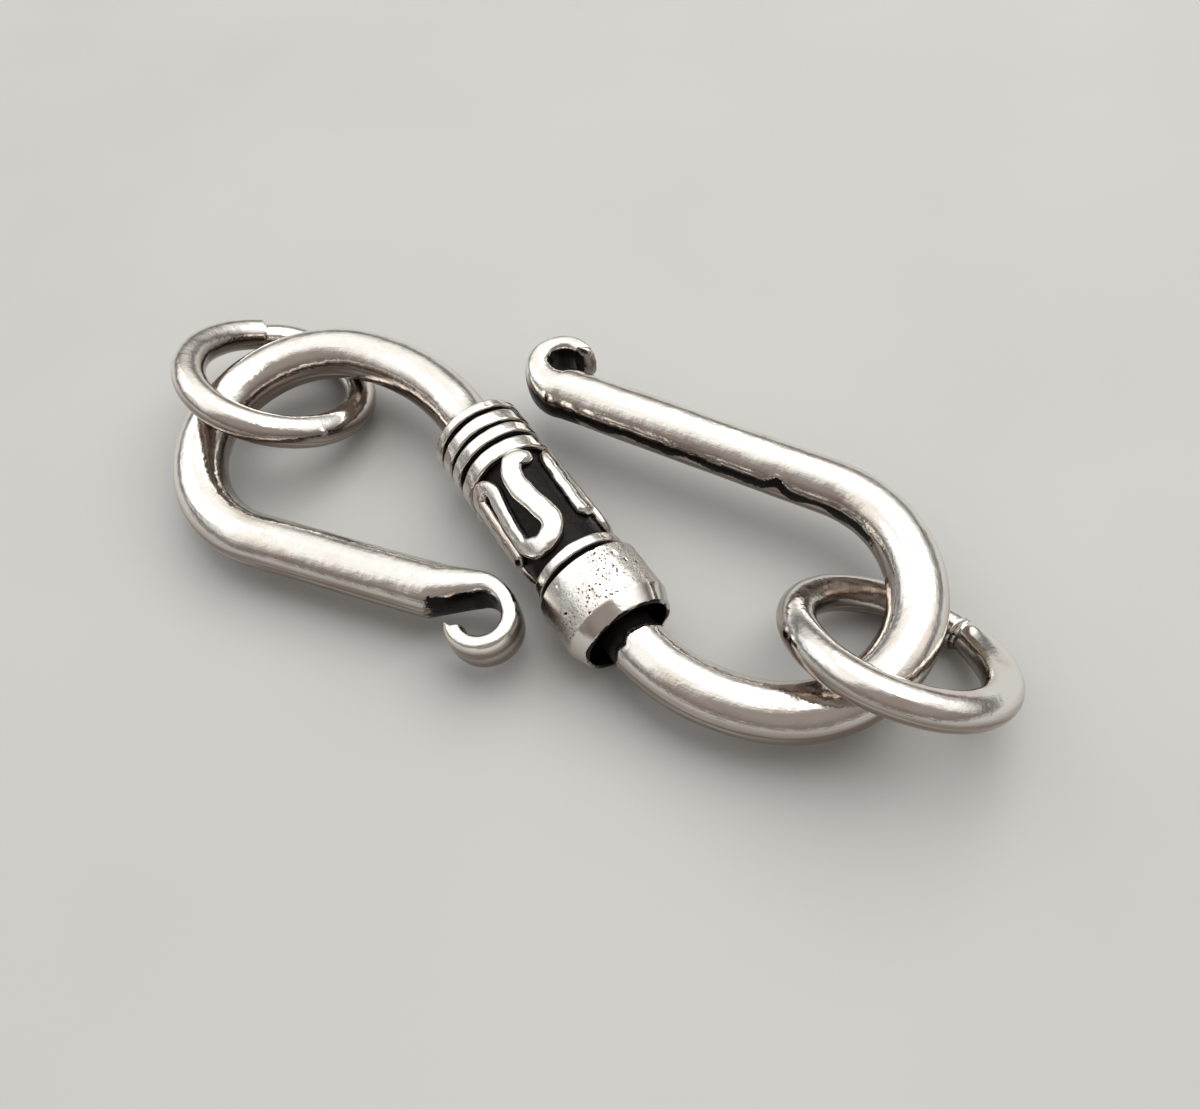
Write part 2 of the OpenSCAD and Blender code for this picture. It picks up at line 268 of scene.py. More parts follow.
# Specular level of the silvers, which shows where they are black and no longer metal
BLACK_SHINE = 0.12
# How far the grain moves the edge of the black to either side
EDGE_SHIFT = 0.25
# Noise of the draw marks and blotches is drawn out along the wire, which is X in "co"
DRAW_STRETCH = (0.12, 4.0, 4.0)
BLOTCH_STRETCH = (0.5, 1.0, 1.0)


def put(tree, socket, value):
    """Links a socket to another, or sets it to a number or colour."""
    if isinstance(value, bpy.types.NodeSocket):
        tree.links.new(value, socket)
    else:
        socket.default_value = value


def attribute(tree, name, output="Fac"):
    made = tree.nodes.new("ShaderNodeAttribute")
    made.attribute_name = name
    return made.outputs[output]


def object_place(tree):
    return tree.nodes.new("ShaderNodeTexCoord").outputs["Object"]


def vector_math(tree, operation, a, b, output):
    made = tree.nodes.new("ShaderNodeVectorMath")
    made.operation = operation
    put(tree, made.inputs[0], a)
    put(tree, made.inputs[1], b)
    return made.outputs[output]


def scaled(tree, vector, scale):
    return vector_math(tree, "MULTIPLY", vector, scale, "Vector")


def noise_map(tree, vector, scale, detail=2.0, roughness=0.5):
    made = tree.nodes.new("ShaderNodeTexNoise")
    put(tree, made.inputs["Vector"], vector)
    put(tree, made.inputs["Scale"], scale)
    put(tree, made.inputs["Detail"], detail)
    put(tree, made.inputs["Roughness"], roughness)
    return made.outputs["Fac"]


def cell_map(tree, vector, scale):
    made = tree.nodes.new("ShaderNodeTexVoronoi")
    put(tree, made.inputs["Vector"], vector)
    put(tree, made.inputs["Scale"], scale)
    return made.outputs["Distance"]


def ramp(tree, value, between, to=(0.0, 1.0)):
    """A smooth step between two values, from the first to the second number of `to`."""
    made = tree.nodes.new("ShaderNodeMapRange")
    made.interpolation_type = "SMOOTHSTEP"
    put(tree, made.inputs["Value"], value)
    put(tree, made.inputs["From Min"], between[0])
    put(tree, made.inputs["From Max"], between[1])
    put(tree, made.inputs["To Min"], to[0])
    put(tree, made.inputs["To Max"], to[1])
    return made.outputs["Result"]


def math_of(tree, operation, a, b):
    made = tree.nodes.new("ShaderNodeMath")
    made.operation = operation
    put(tree, made.inputs[0], a)
    put(tree, made.inputs[1], b)
    return made.outputs[0]


def total(tree, first, *others):
    for other in others:
        first = math_of(tree, "ADD", first, other)
    return first


def mix_color(tree, factor, a, b):
    made = tree.nodes.new("ShaderNodeMix")
    made.data_type = "RGBA"
    put(tree, made.inputs["Factor"], factor)
    put(tree, made.inputs["A"], a)
    put(tree, made.inputs["B"], b)
    return made.outputs["Result"]


def bump(tree, height, depth, normal=None):
    """A bump of the given depth in mm."""
    made = tree.nodes.new("ShaderNodeBump")
    put(tree, made.inputs["Height"], height)
    put(tree, made.inputs["Distance"], depth * MM)
    if normal:
        put(tree, made.inputs["Normal"], normal)
    return made.outputs["Normal"]


def start_material(name):
    material = bpy.data.materials.new(name + LOOK)
    material.use_nodes = True
    tree = material.node_tree
    return material, tree, tree.nodes["Principled BSDF"]


def black_where(tree, dirt_and_shade, grain):
    """Black where the mask of dirt, oxide and painted shade is high, with an edge that the grain makes
    ragged.
    """
    shift = ramp(tree, grain, (0.3, 0.7), to=(-EDGE_SHIFT, EDGE_SHIFT))
    return ramp(tree, math_of(tree, "ADD", dirt_and_shade, shift), (0.4, 0.6))


def color_silver(tree, shader, tone, black):
    """Metal of the given tone, with black that is no longer metal."""
    put(tree, shader.inputs["Base Color"], mix_color(tree, black, tone, BLACK))
    put(tree, shader.inputs["Metallic"], ramp(tree, black, (0, 1), to=(1.0, 0.0)))
    put(tree, shader.inputs["Specular IOR Level"], BLACK_SHINE)


def make_polished_silver():
    """Hand-polished silver wire: draw marks along it, dents, warm painted shade below, black where
    marked.
    """
    material, tree, shader = start_material("polished_silver")
    co = attribute(tree, "co", "Vector")
    draw = noise_map(tree, scaled(tree, co, DRAW_STRETCH), scale=1.8, detail=4.0, roughness=0.6)
    blotch = noise_map(tree, scaled(tree, co, BLOTCH_STRETCH), scale=0.9, detail=3.0)
    dents = noise_map(tree, co, scale=2.4, detail=3.0, roughness=0.55)
    grain = noise_map(tree, co, scale=14.0, detail=3.0, roughness=0.6)

    tone = mix_color(tree, ramp(tree, blotch, (0.48, 0.72), to=(0.0, 0.75)), BRIGHT, WARM)
    tone = mix_color(tree, ramp(tree, draw, (0.5, 0.75), to=(0.0, 0.3)), tone, WARM)
    # Painted shade on the sides that face aside or down, broken up by the draw streaks
    streaks = ramp(tree, draw, (0.25, 0.6), to=(0.6, 1.0))
    darkening = math_of(tree, "MULTIPLY", attribute(tree, "under"), streaks)
    tone = mix_color(tree, darkening, tone, TARNISH_AND_SHADE)
    black = black_where(tree, attribute(tree, "dirt_and_shade"), grain)
    color_silver(tree, shader, tone, black)

    roughness = total(
        tree,
        ramp(tree, dents, (0.35, 0.7), to=(0.07, 0.17)),
        ramp(tree, grain, (0.4, 0.8), to=(0.0, 0.06)),
        ramp(tree, attribute(tree, "rubbed"), (0, 1), to=(0.0, 0.09)),
        ramp(tree, black, (0, 1), to=(0.0, 0.18)),
    )
    put(tree, shader.inputs["Roughness"], roughness)
    normal = bump(tree, dents, depth=0.02)
    normal = bump(tree, draw, depth=0.007, normal=normal)
    put(tree, shader.inputs["Normal"], bump(tree, grain, depth=0.0015, normal=normal))
    return material


def make_pitted_silver():
    """Cast silver: rough with fine black pits where it is marked, smooth elsewhere, with painted shade
    below.
    """
    material, tree, shader = start_material("pitted_silver")
    co = attribute(tree, "co", "Vector")
    pitted = attribute(tree, "pitted")
    grain = noise_map(tree, co, scale=7.0, detail=4.0, roughness=0.65)
    blotch = noise_map(tree, co, scale=1.3, detail=3.0)

    holes = ramp(tree, cell_map(tree, co, scale=6.5), (0.12, 0.3), to=(1.0, 0.0))
    pits = math_of(tree, "MULTIPLY", holes, ramp(tree, blotch, (0.38, 0.56)))
    specks = ramp(tree, grain, (0.58, 0.68), to=(0.0, 0.7))
    marks = math_of(tree, "MAXIMUM", pits, specks)
    marks = math_of(tree, "MULTIPLY", marks, ramp(tree, pitted, (0.5, 0.8)))

    tone = mix_color(tree, ramp(tree, blotch, (0.45, 0.7), to=(0.0, 0.4)), BRIGHT, WARM)
    dull = math_of(tree, "MULTIPLY", pitted, ramp(tree, grain, (0.35, 0.55), to=(0.22, 0.0)))
    tone = mix_color(tree, dull, tone, TARNISH_AND_SHADE)
    # Painted shade on the sides that face aside or down
    tone = mix_color(tree, attribute(tree, "under"), tone, TARNISH_AND_SHADE)
    black = math_of(tree, "MAXIMUM", black_where(tree, attribute(tree, "dirt_and_shade"), grain), marks)
    color_silver(tree, shader, tone, black)

    rough = math_of(tree, "MULTIPLY", pitted, ramp(tree, grain, (0.3, 0.7), to=(0.1, 0.24)))
    rough = math_of(tree, "ADD", rough, ramp(tree, black, (0, 1), to=(0.12, 0.27)))
    put(tree, shader.inputs["Roughness"], rough)
    uneven = math_of(tree, "MULTIPLY", grain, ramp(tree, pitted, (0, 1), to=(0.15, 1.0)))
    normal = bump(tree, uneven, depth=0.02)
    put(tree, shader.inputs["Normal"], bump(tree, marks, depth=-0.03, normal=normal))
    return material


def make_oxidised_silver():
    """Blackened silver ground: nearly black, a little glossy, with a fine uneven skin."""
    material, tree, shader = start_material("oxidised_silver")
    co = scaled(tree, object_place(tree), [1 / MM] * 3)
    skin = noise_map(tree, co, scale=3.0, detail=4.0, roughness=0.6)
    fine = noise_map(tree, co, scale=16.0)
    tone = mix_color(tree, ramp(tree, skin, (0.45, 0.75)), BLACK, BROWN_BLACK)
    put(tree, shader.inputs["Base Color"], tone)
    put(tree, shader.inputs["Specular IOR Level"], BLACK_SHINE)
    put(tree, shader.inputs["Roughness"], ramp(tree, fine, (0.3, 0.7), to=(0.22, 0.45)))
    normal = bump(tree, skin, depth=0.05)
    put(tree, shader.inputs["Normal"], bump(tree, fine, depth=0.01, normal=normal))
    return material


# ---- The hook ----

HOOK_SIDES = 96
HOOK_STEP, CURL_STEP = 0.1, 0.07
# The higher this power, the sooner the taper turns the wire into strip
TAPER_POWER = 1.7
# Lengths over which the tip's cut turns aslant and over which its edge is rounded off
SLANT_L, TIP_ROUND_L = 0.7, 0.16


def half_hook(heading, path, curl):
    """Stations from the middle to a curled tip.

    Each is (length, centre, heading, width, height, power of the section, slant of the cut).
    """
    taper_l, lead, curl_r, curl_turn, tip_slant = curl
    round_wire = (2 * WIRE_R, 2 * WIRE_R, ROUND_POWER, 0.0)
    out = [(s, np.array(p[:2]), p[2], *round_wire) for s, p in walk((0, 0, heading), path, HOOK_STEP)]
    last = out.pop()
    edge = (*left_of((*last[1], last[2]), WIRE_R), last[2])
    curl_path = [(lead, 0), (-CURL_LEAD_R, -CURL_LEAD_TURN), (-curl_r, -curl_turn)]
    stations = walk(edge, curl_path, CURL_STEP)
    end = stations[-1][0]
    for m, p in stations:
        t = 1 - (1 - min(1, m / taper_l)) ** TAPER_POWER
        w, h = mix(2 * WIRE_R, STRIP_W, t), mix(2 * WIRE_R, STRIP_H, t)
        power = mix(ROUND_POWER, FORGED_POWER, t)
        slant = tip_slant * float(rise(m, end - SLANT_L, SLANT_L))
        out.append((last[0] + m, left_of(p, -w / 2), p[2], w, h, power, slant))
    return out


def hook_rings(stations, side):
    """Level points, normals and straightened coordinates, each as rings of points.

    The side is 1 for the left half and -1 for the right one.
    """
    a = round_angles(HOOK_SIDES)
    end = stations[-1][0]
    points, normals, straight = [], [], []
    for s, centre, heading, w, h, power, slant in stations:
        tip = max(0.0, 1 - (end - s) / TIP_ROUND_L)
        round_off = 0.5 + 0.5 * math.sqrt(max(0.0, 1 - tip * tip))
        ahead = np.array([math.cos(math.radians(heading)), math.sin(math.radians(heading))])
        own_left = np.array([-ahead[1], ahead[0]])
        across = side * w / 2 * spread(np.cos(a), power) * round_off
        up = h / 2 * spread(np.sin(a), power) * round_off
        shift = -(w / 2 - across) * math.tan(math.radians(slant))
        xy = centre + np.outer(across, own_left) + np.outer(shift, ahead)
        points.append(np.column_stack([xy, up]))
        normals.append(np.column_stack([np.outer(side * np.cos(a), own_left), np.sin(a)]))
        length = np.full(HOOK_SIDES, side * s)
        straight.append(np.column_stack([length, WIRE_R * np.cos(a), WIRE_R * np.sin(a)]))
    return np.array(points), np.array(normals), np.array(straight)


def path_length(path):
    return sum(length_of(size, turn) for size, turn in path)


LEFT_LEG_END = path_length(LEFT_PATH)
RIGHT_LEG_END = path_length(RIGHT_PATH)

# Layers of relief: on the whole wire, where it is forged, where it is torn, and at its tips
WIRE_SKIN = [(0.012, 0.45, 1), (0.006, 1.3, 2)]
FORGED_SKIN = [(0.03, 0.9, 3)]
TORN_SKIN = [(0.008, 5.5, 14)]
TIP_SKIN = [(0.05, 3.5, 15)]
# The forged stretches and the torn one, as lengths from the middle
LEFT_FORGED, RIGHT_FORGED, FORGED_FADE = LEFT_LEG_END - 2.5, RIGHT_LEG_END - 2.0, 2.5
TORN_FROM, TORN_START_L = LEFT_LEG_END - 4.5, 2
TORN_TO, TORN_END_L = LEFT_LEG_END + 1.5, 1
# The height from which the torn skin shows, and that over which it comes in
TORN_HEIGHT, TORN_RISE = 0.5, 0.3
# Length on which the tips are ragged
TIP_L = 0.5


def wire_skin(points, s):
    """Relief in mm of the drawn, forged and torn skin; s is the length to the left of the middle."""
    forged = rise(s, LEFT_FORGED, FORGED_FADE) + rise(-s, RIGHT_FORGED, FORGED_FADE)
    torn = rise(s, TORN_FROM, TORN_START_L) * fall(s, TORN_TO, TORN_END_L)
    torn = torn * rise(points[..., 2], TORN_HEIGHT, TORN_RISE)
    tips = rise(s, s.max() - TIP_L, TIP_L) + fall(s, s.min() + TIP_L, TIP_L)
    relief = layered(points, WIRE_SKIN) + forged * layered(points, FORGED_SKIN)
    return relief + torn * layered(points, TORN_SKIN) + tips * layered(points, TIP_SKIN)


# Solder on the wire where it leaves the end band: its height there, its length and its curve
SOLDER_RISE, SOLDER_L, SOLDER_POWER = 0.2, 1.4, 2.6
SOLDER_WANDER = [(0.35, 1.8, 4)]


def solder_climb(points, s):
    """Relief in mm of the solder, which thins out along the wire."""
    off_band = np.clip((s - BEAD_LEFT) / SOLDER_L, 0, 1)
    climb = SOLDER_RISE * (1 - off_band) ** SOLDER_POWER * (1 + layered(points, SOLDER_WANDER))
    return np.where(s > 0, climb, 0)


# The burr that the polishing left along the right leg: its place round the wire, and its two ends,
# each with the length on which it fades
BURR_ANGLE = 155
BURR_FROM, BURR_START_L = RIGHT_LEG_END - 14.5, 1.5
BURR_TO, BURR_END_L = RIGHT_LEG_END - 0.2, 0.8
# Layers along the wire, in degrees round it, of the burr's edge and of the foot of its black
BURR_WANDER = [(5, 0.35, 5), (4, 2.6, 6), (2, 7, 7)]
BURR_FOOT_WANDER = [(18, 0.8, 10)]
# A chip that moves its edge: place, degrees round the wire, and half length
CHIP_AT, CHIP_RISE, CHIP_L = RIGHT_LEG_END - 9.1, 16, 0.42
# Heights in mm of the lip and of the hollow below it, with their widths in degrees
LIP_H, LIP_WIDTH = 0.05, 3.2
LIP_SKIN = [(0.04, 5.0, 8)]
HOLLOW_H, HOLLOW_WIDTH = 0.06, 28
HOLLOW_WANDER = [(0.5, 2.2, 9)]
# How far below its edge the black and the painted shade reach, in degrees, and how soft they end
BURR_BLACK, BLACK_END = 30, 10
BURR_SHADE, SHADE_END = 120, 30
# How soft the black, and the hollow and painted shade, begin below the edge, in degrees
BLACK_START, HOLLOW_START = 2.5, 3


def burr(points, s, angle):
    """The burr's relief in mm, its black and its painted shade."""
    along = rise(-s, BURR_FROM, BURR_START_L) * fall(-s, BURR_TO, BURR_END_L)
    line = np.stack([s, 0 * s, 0 * s], -1)
    chip = CHIP_RISE * bell(-s - CHIP_AT, CHIP_L)
    below = angle_gap(angle, BURR_ANGLE) - layered(line, BURR_WANDER) + chip
    lip = bell(below, LIP_WIDTH) * (LIP_H + layered(points, LIP_SKIN))
    hollow = rise(below, 0, HOLLOW_START) * np.exp(-np.clip(below, 0, None) / HOLLOW_WIDTH)
    hollow *= HOLLOW_H * (1 + layered(points, HOLLOW_WANDER))
    foot = BURR_BLACK + layered(line, BURR_FOOT_WANDER)
    black = along * rise(below, 0, BLACK_START) * fall(below, foot, BLACK_END)
    shade = along * rise(below, 0, HOLLOW_START) * fall(below, BURR_SHADE, SHADE_END)
    return along * (lip - hollow), black, shade


# How far black comes out of the collar along the wire, how its edge wanders and how soft it is
COLLAR_BLACK_L = 0.52
COLLAR_BLACK_WANDER = [(0.28, 1.6, 11)]
COLLAR_BLACK_SOFT = 0.14
# Depth of the black, and height, width and raggedness of the bright edge beside it
COLLAR_BLACK_DEPTH = 0.05
COLLAR_EDGE_H, COLLAR_EDGE_W = 0.05, 0.12
COLLAR_EDGE_SKIN = [(1.0, 4.0, 12)]
# A place hidden in the bead, to the left of which none of the collar's black stands
HIDDEN_IN_BEAD = -3


def collar_black(points, straight):
    """Relief and black where black from inside the collar ends at a ragged bright edge on the wire."""
    s = straight[..., 0]
    right_of_bead = s < HIDDEN_IN_BEAD
    edge = COLLAR_RIGHT - COLLAR_BLACK_L - layered(straight * (0, 1, 1), COLLAR_BLACK_WANDER)
    black = rise(s, edge, COLLAR_BLACK_SOFT) * right_of_bead
    ragged = 0.5 + layered(points, COLLAR_EDGE_SKIN)
    bright = bell(s - edge, COLLAR_EDGE_W) * ragged * right_of_bead
    return COLLAR_EDGE_H * bright - COLLAR_BLACK_DEPTH * black, black


CURL_BLACK_WANDER = [(0.2, 2.5, 13)]
# Each pair is a place and a width for rise() or fall(). The first lengths are those past a leg's end
# from which a curl's inner wall is black, then those of the right curl's outer side
LEFT_BLACK, RIGHT_BLACK = (-0.2, 0.7), (0.1, 0.8)
LOW_FROM, LOW_TO = (-1.2, 0.6), (2.6, 0.8)
# These are parts of the wire's radius: how far aside the inner walls begin, and the outer one ends
LEFT_WALL, RIGHT_WALL, OUTER_WALL = (-0.15, 0.5), (0.15, 0.5), (0.3, 0.4)
# And these the heights above which the inner walls and the outer one stay bright
INNER_TOP, OUTER_TOP = (0.8, 0.25), (0.5, 0.3)


def curl_shade_and_oxide(points, straight):
    """Black on the inner walls of the curls and low on the outer side of the right one: painted shade,
    with some oxide.
    """
    s = straight[..., 0]
    to_left, height = straight[..., 1] / WIRE_R, straight[..., 2] / WIRE_R
    ragged = layered(points, CURL_BLACK_WANDER)
    past_left, past_right = s - LEFT_LEG_END, -s - RIGHT_LEG_END
    shaded = fall(height - ragged, *INNER_TOP)
    left = rise(past_left + ragged, *LEFT_BLACK) * fall(to_left - ragged, *LEFT_WALL) * shaded
    right = rise(past_right, *RIGHT_BLACK) * rise(to_left + ragged, *RIGHT_WALL) * shaded
    low = rise(past_right, *LOW_FROM) * fall(past_right, *LOW_TO)
    low *= fall(height - ragged, *OUTER_TOP) * fall(to_left, *OUTER_WALL)
    return np.maximum(np.maximum(left, right), low)


def make_hook(material):
    left = hook_rings(half_hook(0, LEFT_PATH, LEFT_CURL), 1)
    right = hook_rings(half_hook(180, RIGHT_PATH, RIGHT_CURL), -1)
    points, normals, straight = [np.concatenate([b[:0:-1], a]) for a, b in zip(left, right)]
    s = straight[..., 0]
    angle = np.degrees(np.arctan2(straight[..., 2], straight[..., 1]))
    burr_relief, burr_black, burr_shade = burr(points, s, angle)
    collar_relief, black = collar_black(points, straight)
    relief = wire_skin(points, s) + solder_climb(points, s) + burr_relief + collar_relief
    attributes = {
        "co": straight,
        # Black under the burr, oxide out of the collar, and black in the curls that is painted shade and
        # oxide
        "dirt_and_shade": np.maximum(np.maximum(burr_black, black), curl_shade_and_oxide(points, straight)),
        # Painted shade on the sides that face aside or down, and below the burr
        "under": np.maximum(underside(normals @ REST_TURN), burr_shade),
    }
    shape = points + normals * relief[..., None]
    faces = tube_faces(len(points), HOOK_SIDES)
    make_piece("hook_wire", at_rest(shape), faces, attributes, material, "hook")


# ---- The jump rings ----

RING_STEPS = 640
# How much finer the steps get toward the seam, from 0 for even steps to 1
SEAM_CROWDING = 0.6
RING_SIDES = 64
# Each ring's place of the seam, radial steps of its two ends there, and nibs: each has its place along
# the ring, its place round the wire, its size and its height
RINGS = {
    "left": (346, (0.04, -0.2), [(182, 33, 0.09, 0.1)]),
    "right": (242, (-0.04, 0.13), [(236, 112, 0.24, 0.07), (40, 8, 0.22, -0.025)]),
}
RING_SKIN = [(0.01, 0.6, 22), (0.006, 1.6, 23)]
SEAM_SKIN = [(0.015, 2.3, 24)]
# At the seam: width of the step, wander of the cut, and lengths on which the ends step and are rough
STEP_W, CUT_WANDER, STEP_L, SEAM_ROUGH_L = 0.2, 0.05, 1.1, 1.2
# The far end is thinner by this part, over this length
END_THIN, END_THIN_L = 0.16, 0.8
# Width of the black line in the cut, how black it is inside the ring, and how black the rough ends are
GROOVE_W, GROOVE_BLACK, ROUGH_BLACK = 0.045, 0.7, 0.6
# How high the wander's noise stands where the rough ends are fully black
ROUGH_RISE = 0.4
# The cut's wander: its noise is finer round the wire than along the ring
WANDER_ROUND, WANDER_SCALE, WANDER_SEED = 2, 1.5, 21

MOUNTS = {mount["name"]: mount for mount in frame["record"]["mounts"]}


def make_ring(side, seam, steps, nibs, material):
    """A closed ring with a seam where its ends meet a little out of line, and small nibs."""
    mount = MOUNTS[f"{side}_ring_eye"]
    centre = np.array(mount["pos_m"]) / MM
    axis = np.array(mount["axis"])
    level = np.cross((0, 0, 1), axis)
    level /= np.linalg.norm(level)
    down = np.cross(axis, level)
    even = round_angles(RING_STEPS)
    crowded = seam + np.degrees(even - SEAM_CROWDING * np.sin(even))
    place, turn = np.meshgrid(crowded, np.degrees(round_angles(RING_SIDES)), indexing="ij")
    t, b = np.radians(place), np.radians(turn)
    out = np.cos(t)[..., None] * level + np.sin(t)[..., None] * down
    normals = np.cos(b)[..., None] * out + np.sin(b)[..., None] * axis

    near = RING_R * np.radians(angle_gap(place, seam))
    ragged = noise_at(normals * WANDER_ROUND + out, WANDER_SCALE, WANDER_SEED)
    cut = near + CUT_WANDER * ragged
    far_end = fall(cut, STEP_W / 2, STEP_W)
    slip = mix(steps[0], steps[1], far_end) * np.exp(-np.abs(near) / STEP_L)
    thin = 1 - END_THIN * np.exp(-np.abs(near) / END_THIN_L) * far_end
    centre_line = centre + (RING_R + slip)[..., None] * out
    spots = centre_line + RING_WIRE_R * normals
    inner = np.clip(-np.cos(b), 0, 1)
    rough = bell(near, SEAM_ROUGH_L) * inner
    relief = layered(spots, RING_SKIN) + rough * layered(spots, SEAM_SKIN)
    for at, round_at, size, height in nibs:
        along_gap = RING_R * np.radians(angle_gap(place, at))
        round_gap = RING_WIRE_R * np.radians(angle_gap(turn, round_at))
        relief += height * bell(np.hypot(along_gap, round_gap), size)

    shape = centre_line + (RING_WIRE_R * thin + relief)[..., None] * normals
    groove = bell(cut, GROOVE_W)
    darkening = rise(ragged, 0, ROUGH_RISE)
    attributes = {
        "co": np.stack([RING_R * t, RING_WIRE_R * np.cos(b), RING_WIRE_R * np.sin(b)], -1),
        "dirt_and_shade": np.maximum(GROOVE_BLACK * groove * inner, ROUGH_BLACK * rough * darkening),
        # Painted shade on the sides that face aside or down
        "under": underside(normals),
    }
    faces = tube_faces(RING_STEPS, RING_SIDES, closed=True, flip=True)
    make_piece(f"{side}_jump_ring", shape * MM, faces, attributes, material, f"{side}_ring")


# ---- The bead's turned pieces ----

TURNS = 288
OUTLINE_STEP = 0.035
CORNER_POINTS = 7
# The greatest part of a side that one rounded corner takes
CORNER_PART = 0.45
# Part of the full painted underside shade on the turned pieces and on the scrolls
TURNED_PAINTED_SHADE, SCROLL_PAINTED_SHADE = 0.5, 0.6


def turned(profile, relief_of):
    """Level points and normals of a closed profile of (radius, x) turned about the bead's axis."""
    profile = np.array(profile)
    tangent = np.roll(profile, -1, 0) - np.roll(profile, 1, 0)
    flat = np.column_stack([tangent[:, 1], -tangent[:, 0]])
    flat /= np.linalg.norm(flat, axis=1)[:, None]
    a = round_angles(TURNS)
    ring = np.stack([0 * a, -np.sin(a), np.cos(a)], -1)
    points = profile[:, 0][None, :, None] * ring[:, None, :]
    points[..., 0] = profile[:, 1]
    normals = flat[:, 0][None, :, None] * ring[:, None, :]
    normals[..., 0] = flat[:, 1]
    return points + normals * relief_of(points, normals)[..., None], normals


def resampled(corners, round_r):
    """A closed outline of (radius, x) with rounded corners, as evenly spaced points."""
    corners = [np.array(c, float) for c in corners]
    out = []
    for i, corner in enumerate(corners):
        back, on = corners[i - 1] - corner, corners[(i + 1) % len(corners)] - corner
        back_l, on_l = np.linalg.norm(back), np.linalg.norm(on)
        reach = min(round_r, CORNER_PART * back_l, CORNER_PART * on_l)
        start, stop = corner + reach * back / back_l, corner + reach * on / on_l
        for u in np.linspace(0, 1, CORNER_POINTS):
            out.append((1 - u) ** 2 * start + 2 * u * (1 - u) * corner + u * u * stop)
    out = np.array(out + out[:1])
    lengths = np.concatenate([[0], np.cumsum(np.linalg.norm(np.diff(out, axis=0), axis=1))])
    places = np.linspace(0, lengths[-1], round(lengths[-1] / OUTLINE_STEP), endpoint=False)
    return np.column_stack([np.interp(places, lengths, out[:, i]) for i in (0, 1)])


def make_turned(node, corners, round_r, relief_of, dirt_of, extra, material):
    """A turned piece; extra is one more attribute, as its name and a function of the points."""
    profile = resampled(corners, round_r)
    points, normals = turned(profile, relief_of)
    attributes = {
        "co": points,
        "dirt_and_shade": dirt_of(points),
        # Painted shade, weaker here, on the sides that face aside or down
        "under": TURNED_PAINTED_SHADE * underside(normals @ REST_TURN),
        extra[0]: extra[1](points),
    }
    faces = tube_faces(TURNS, len(profile), closed=True, flip=True)
    make_piece(node, at_rest(points), faces, attributes, material, "hook")


BAND_ROUND = 0.11
# How deep the bands' dents are: in the outermost band, and in the others
END_DENTS, BAND_DENTS = 0.12, 0.05
# Layers of a band's sides, top and dents, and of its black's edge, with seeds counted from its own
SIDE_SKIN = [(0.03, 1.1, 0), (0.015, 3.0, 1)]
TOP_SKIN = [(0.012, 1.2, 2), (0.008, 4.0, 3)]
DENT_NOISE = [(1.0, 1.6, 4)]
BAND_BLACK_WANDER = [(0.05, 3.0, 5)]
# Value of their noise from which dents start
DENT_START = 0.15
# How far apart the two sides of a band lie in the noise, so that they differ
SIDES_APART = 3
# How far the skin's mean level lies inside the solid, to make room for its bumps
BAND_SINK = 0.008
# The first band's seed and how much each next one's is higher, then the lower band's
BAND_SEED, BAND_SEEDS, LOWER_BAND_SEED = 31, 7, 71
# Part of a band's height up to which black stands at its foot, and how soft its edge is
BAND_BLACK, BAND_BLACK_EDGE = 0.55, 0.08


def make_band(node, x, w, h, seed, dented, material):
    """A hammered band: sides that wander, a few dents and black at its foot."""
    def relief_of(points, normals):
        sides = np.abs(normals[..., 0])
        along = np.stack([points[..., 1], points[..., 2], np.sign(normals[..., 0]) * SIDES_APART], -1)
        wander = layered(along, SIDE_SKIN, seed)
        top = layered(points, TOP_SKIN, seed)
        dents = dented * np.clip(layered(points, DENT_NOISE, seed) - DENT_START, 0, 1)
        return mix(top - dents, wander, sides) - BAND_SINK

    def dirt_of(points):
        black_r = SLEEVE_R + BAND_BLACK * h + layered(points, BAND_BLACK_WANDER, seed)
        return fall(axis_distance(points), black_r, BAND_BLACK_EDGE)

    def rubbed(points):
        return np.ones(points.shape[:-1])

    corners = [(FOOT_R, x), (SLEEVE_R + h, x), (SLEEVE_R + h, x + w), (FOOT_R, x + w)]
    make_turned(node, corners, BAND_ROUND, relief_of, dirt_of, ("rubbed", rubbed), material)


def make_bands(material):
    x = BEAD_LEFT
    for i, w in enumerate(BAND_W):
        x -= w
        dented = END_DENTS if i == 0 else BAND_DENTS
        make_band(f"end_band_{i + 1}", x, w, BAND_H, BAND_SEED + BAND_SEEDS * i, dented, material)
        x -= BAND_GAP[i] if i < len(BAND_GAP) else 0
    x = LOWER_BAND_LEFT - LOWER_BAND_W
    make_band("lower_band", x, LOWER_BAND_W, LOWER_BAND_H, LOWER_BAND_SEED, BAND_DENTS, material)


COLLAR_ROUND = 0.05
# How far the skin's mean level lies inside the solid
COLLAR_SINK = 0.015
RECESS_R = COLLAR_R - BEVEL_H - RECESS_WALL
# Where the bevel meets the drum
RIM = COLLAR_RIGHT + BEVEL_L
CAST_SKIN, DRUM_SKIN = [(0.01, 1.1, 81)], [(0.005, 3.2, 82)]
# Each noise below is (scale, seed), and each pair after it a place and a width for rise() or fall()
PIT_NOISE, PIT_SHAPE, PIT_STAIN = (4.2, 83), (0.42, 0.25), (0.46, 0.2)
PIT_DEPTH, PIT_BLACK = 0.04, 0.8
RIM_DENT_NOISE, RIM_DENT_SHAPE = (1.3, 84), (0.2, 0.5)
# Depth of the dents at the rim, and how wide the stretch with dents is
RIM_DENT_DEPTH, RIM_DENT_W = 0.015, 0.3
# Where the drum begins along the bead, and where the relief begins outside the recess
DRUM, OUTSIDE = (RIM, 0.1), (RECESS_R + 0.04, 0.1)
